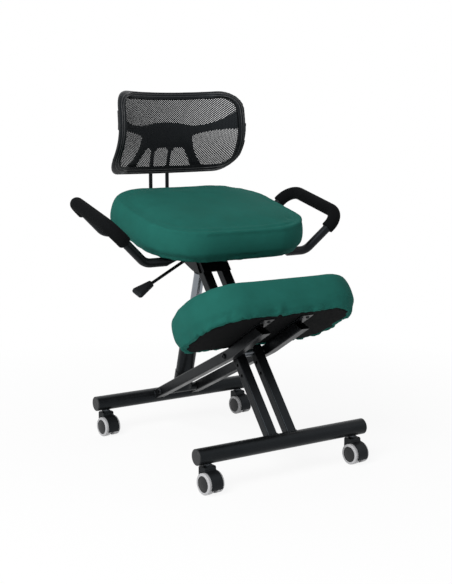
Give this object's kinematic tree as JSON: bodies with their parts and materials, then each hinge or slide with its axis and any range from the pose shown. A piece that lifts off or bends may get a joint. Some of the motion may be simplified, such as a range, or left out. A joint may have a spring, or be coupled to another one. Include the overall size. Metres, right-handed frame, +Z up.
{
  "type": "kneeling chair",
  "caption": "Kneeling office chair: sloping seat and knee pad on a folding X-frame with gas lift, mesh backrest, foam-gripped side handles and twin-wheel casters.",
  "frame": {"origin": "on the floor, midway between the two base bars and in the plane of symmetry of the frame", "axes": "+X to the sitter's left, along the base bars; +Y to the rear; +Z up"},
  "size_m": [0.683, 0.6454, 0.8948],
  "materials": {
    "black_steel": "satin black powder coat",
    "zinc_steel": "dull zinc plate",
    "chrome": "polished",
    "gas_head_steel": "black oxide",
    "upholstery": "plain woven, matte",
    "plywood": "raw",
    "foam": "fine-celled matte foam",
    "back_plastic": "fine-grained moulded black",
    "back_mesh": "open black net",
    "black_plastic": "moulded black",
    "cap_plastic": "moulded dark grey",
    "caster_plastic": "moulded black",
    "hub_plastic": "moulded dark grey",
    "tyre_pu": "smooth light grey"
  },
  "bodies": {
    "knee_frame": {"rear_bar": "black_steel", "rear_bar_caps": "cap_plastic", "knee_arm_left": "black_steel", "knee_arm_right": "black_steel", "knee_board": "plywood", "knee_cushion": "upholstery", "crossing_bolt": "zinc_steel", "crossing_washers": "zinc_steel", "gas_foot_bolt": "zinc_steel"},
    "seat_frame": {"front_bar": "black_steel", "front_bar_caps": "cap_plastic", "seat_tube_left": "black_steel", "seat_tube_right": "black_steel", "crossing_sleeve": "black_steel", "seat_bracket": "black_steel", "seat_board": "plywood", "seat_cushion": "upholstery", "handle_left": "black_steel", "handle_right": "black_steel", "grip_left": "foam", "grip_right": "foam", "back_rods": "black_steel", "back_rim": "back_plastic", "back_mesh": "back_mesh", "back_spider": "back_plastic", "lever_pin": "zinc_steel"},
    "gas_column": {"gas_foot": "black_steel", "gas_column": "black_steel", "gas_guide_bush": "black_plastic"},
    "gas_piston": {"gas_piston": "chrome", "gas_head": "gas_head_steel"},
    "gas_button": {"gas_button": "gas_head_steel"},
    "release_lever": {"lever_rod": "black_steel", "lever_paddle": "black_plastic"},
    "caster_front_left": {"caster_hood_front_left": "caster_plastic", "caster_pins_front_left": "zinc_steel"},
    "wheel_front_left_l": {"wheel_hub_front_left_l": "hub_plastic", "wheel_tyre_front_left_l": "tyre_pu"},
    "wheel_front_left_r": {"wheel_hub_front_left_r": "hub_plastic", "wheel_tyre_front_left_r": "tyre_pu"},
    "caster_front_right": {"caster_hood_front_right": "caster_plastic", "caster_pins_front_right": "zinc_steel"},
    "wheel_front_right_l": {"wheel_hub_front_right_l": "hub_plastic", "wheel_tyre_front_right_l": "tyre_pu"},
    "wheel_front_right_r": {"wheel_hub_front_right_r": "hub_plastic", "wheel_tyre_front_right_r": "tyre_pu"},
    "caster_rear_left": {"caster_hood_rear_left": "caster_plastic", "caster_pins_rear_left": "zinc_steel"},
    "wheel_rear_left_l": {"wheel_hub_rear_left_l": "hub_plastic", "wheel_tyre_rear_left_l": "tyre_pu"},
    "wheel_rear_left_r": {"wheel_hub_rear_left_r": "hub_plastic", "wheel_tyre_rear_left_r": "tyre_pu"},
    "caster_rear_right": {"caster_hood_rear_right": "caster_plastic", "caster_pins_rear_right": "zinc_steel"},
    "wheel_rear_right_l": {"wheel_hub_rear_right_l": "hub_plastic", "wheel_tyre_rear_right_l": "tyre_pu"},
    "wheel_rear_right_r": {"wheel_hub_rear_right_r": "hub_plastic", "wheel_tyre_rear_right_r": "tyre_pu"}
  },
  "joints": [
    {"name": "seat_hinge", "type": "hinge", "parent": "knee_frame", "child": "seat_frame", "pos_m": [0, -0.10714, 0.26554], "axis": [1, 0, 0], "range_deg": [-16, 0]},
    {"name": "gas_tilt", "type": "hinge", "parent": "knee_frame", "child": "gas_column", "pos_m": [0, 0.21706, 0.10742], "axis": [1, 0, 0], "range_deg": [-6, 0.5]},
    {"name": "gas_stroke", "type": "slide", "parent": "gas_column", "child": "gas_piston", "axis": [0, -0.2841, 0.9588], "range_m": [-0.0785, 0.001]},
    {"name": "lever_lift", "type": "hinge", "parent": "seat_frame", "child": "release_lever", "pos_m": [-0.05, 0.09, 0.47871], "axis": [0, 1, 0], "range_deg": [0, 6], "stiffness_Nm_per_rad": 2},
    {"name": "button_press", "type": "slide", "parent": "gas_piston", "child": "gas_button", "axis": [0, -0.2841, 0.9588], "range_m": [-0.0065, 0]},
    {"name": "swivel_front_left", "type": "hinge", "parent": "seat_frame", "child": "caster_front_left", "pos_m": [0.205, -0.262, 0.08], "axis": [0, 0, 1], "continuous": true},
    {"name": "roll_front_left_l", "type": "hinge", "parent": "caster_front_left", "child": "wheel_front_left_l", "pos_m": [0.20621, -0.27354, 0.025], "axis": [0.9945, 0.1045, 0], "continuous": true},
    {"name": "roll_front_left_r", "type": "hinge", "parent": "caster_front_left", "child": "wheel_front_left_r", "pos_m": [0.20621, -0.27354, 0.025], "axis": [0.9945, 0.1045, 0], "continuous": true},
    {"name": "swivel_front_right", "type": "hinge", "parent": "seat_frame", "child": "caster_front_right", "pos_m": [-0.205, -0.262, 0.08], "axis": [0, 0, 1], "continuous": true},
    {"name": "roll_front_right_l", "type": "hinge", "parent": "caster_front_right", "child": "wheel_front_right_l", "pos_m": [-0.20379, -0.27354, 0.025], "axis": [0.9945, 0.1045, 0], "continuous": true},
    {"name": "roll_front_right_r", "type": "hinge", "parent": "caster_front_right", "child": "wheel_front_right_r", "pos_m": [-0.20379, -0.27354, 0.025], "axis": [0.9945, 0.1045, 0], "continuous": true},
    {"name": "swivel_rear_left", "type": "hinge", "parent": "knee_frame", "child": "caster_rear_left", "pos_m": [0.205, 0.262, 0.08], "axis": [0, 0, 1], "continuous": true},
    {"name": "roll_rear_left_l", "type": "hinge", "parent": "caster_rear_left", "child": "wheel_rear_left_l", "pos_m": [0.20621, 0.25046, 0.025], "axis": [0.9945, 0.1045, 0], "continuous": true},
    {"name": "roll_rear_left_r", "type": "hinge", "parent": "caster_rear_left", "child": "wheel_rear_left_r", "pos_m": [0.20621, 0.25046, 0.025], "axis": [0.9945, 0.1045, 0], "continuous": true},
    {"name": "swivel_rear_right", "type": "hinge", "parent": "knee_frame", "child": "caster_rear_right", "pos_m": [-0.205, 0.262, 0.08], "axis": [0, 0, 1], "continuous": true},
    {"name": "roll_rear_right_l", "type": "hinge", "parent": "caster_rear_right", "child": "wheel_rear_right_l", "pos_m": [-0.20379, 0.25046, 0.025], "axis": [0.9945, 0.1045, 0], "continuous": true},
    {"name": "roll_rear_right_r", "type": "hinge", "parent": "caster_rear_right", "child": "wheel_rear_right_r", "pos_m": [-0.20379, 0.25046, 0.025], "axis": [0.9945, 0.1045, 0], "continuous": true}
  ],
  "couplings": [
    {"joint": "gas_tilt", "follows": "seat_hinge", "ratio": 0.34396},
    {"joint": "gas_stroke", "follows": "seat_hinge", "m_per_rad": 0.2756},
    {"joint": "button_press", "follows": "lever_lift", "m_per_rad": -0.0575}
  ]
}
